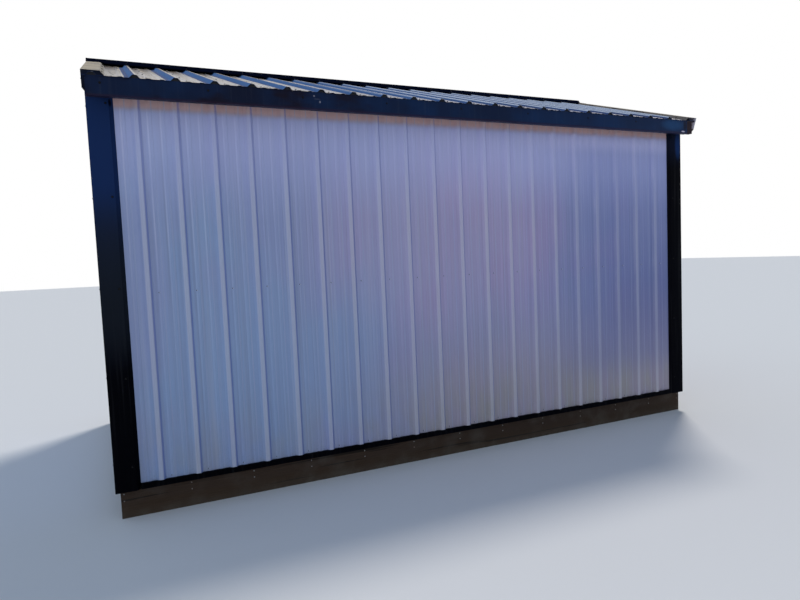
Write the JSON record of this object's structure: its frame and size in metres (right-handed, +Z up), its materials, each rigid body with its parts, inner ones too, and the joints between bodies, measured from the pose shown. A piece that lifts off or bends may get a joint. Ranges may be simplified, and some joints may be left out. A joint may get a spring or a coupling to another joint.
{
  "type": "steel-clad gable shed",
  "caption": "Free-standing gable shed on timber runners, clad in white ribbed steel with near-black trims and roof, and one plain door in one long wall.",
  "frame": {"origin": "on the ground, under the middle of the building", "axes": "+X along the long walls, +Y towards the wall with the door, +Z up"},
  "size_m": [4.963, 3.1368, 3.2488],
  "materials": {
    "painted_white_steel": "ribbed steel, baked white paint, low gloss",
    "painted_black_steel": "folded steel, baked near-black paint, satin",
    "black_roof_steel": "ribbed steel, baked near-black paint, satin",
    "treated_timber": "rough treated pine, weathered brown",
    "framing_timber": "planed pine",
    "board_sheathing": "pressed board",
    "closure_foam": "black closed-cell foam",
    "black_hardware": "black powder coat"
  },
  "bodies": {
    "root": {"runners": "treated_timber", "floor_band": "treated_timber", "floor_joists": "treated_timber", "floor_deck": "board_sheathing", "front_plates": "framing_timber", "back_plates": "framing_timber", "end_plates": "framing_timber", "front_studs": "framing_timber", "back_studs": "framing_timber", "end_studs": "framing_timber", "gable_studs": "framing_timber", "wall_blocking": "framing_timber", "door_header": "framing_timber", "ridge_board": "framing_timber", "rafters": "framing_timber", "eave_boards": "framing_timber", "roof_deck": "board_sheathing", "rake_boards": "framing_timber", "soffits": "painted_black_steel", "front_roofing": "black_roof_steel", "back_roofing": "black_roof_steel", "eave_closures": "closure_foam", "left_rake_trims": "painted_black_steel", "right_rake_trims": "painted_black_steel", "ridge_cap": "painted_black_steel", "fascias": "painted_black_steel", "front_siding": "painted_white_steel", "back_siding_left": "painted_white_steel", "back_siding_right": "painted_white_steel", "back_siding_over_door": "painted_white_steel", "left_siding": "painted_white_steel", "right_siding": "painted_white_steel", "corner_trims": "painted_black_steel", "base_trims": "painted_black_steel", "door_jambs": "framing_timber", "door_head_jamb": "framing_timber", "door_casing_sides": "painted_black_steel", "door_casing_head": "painted_black_steel", "threshold": "painted_black_steel", "door_core": "framing_timber", "door_stiles": "painted_black_steel", "door_rails": "painted_black_steel", "door_panels": "painted_white_steel", "hinges": "black_hardware", "door_handle": "black_hardware"}
  },
  "joints": []
}
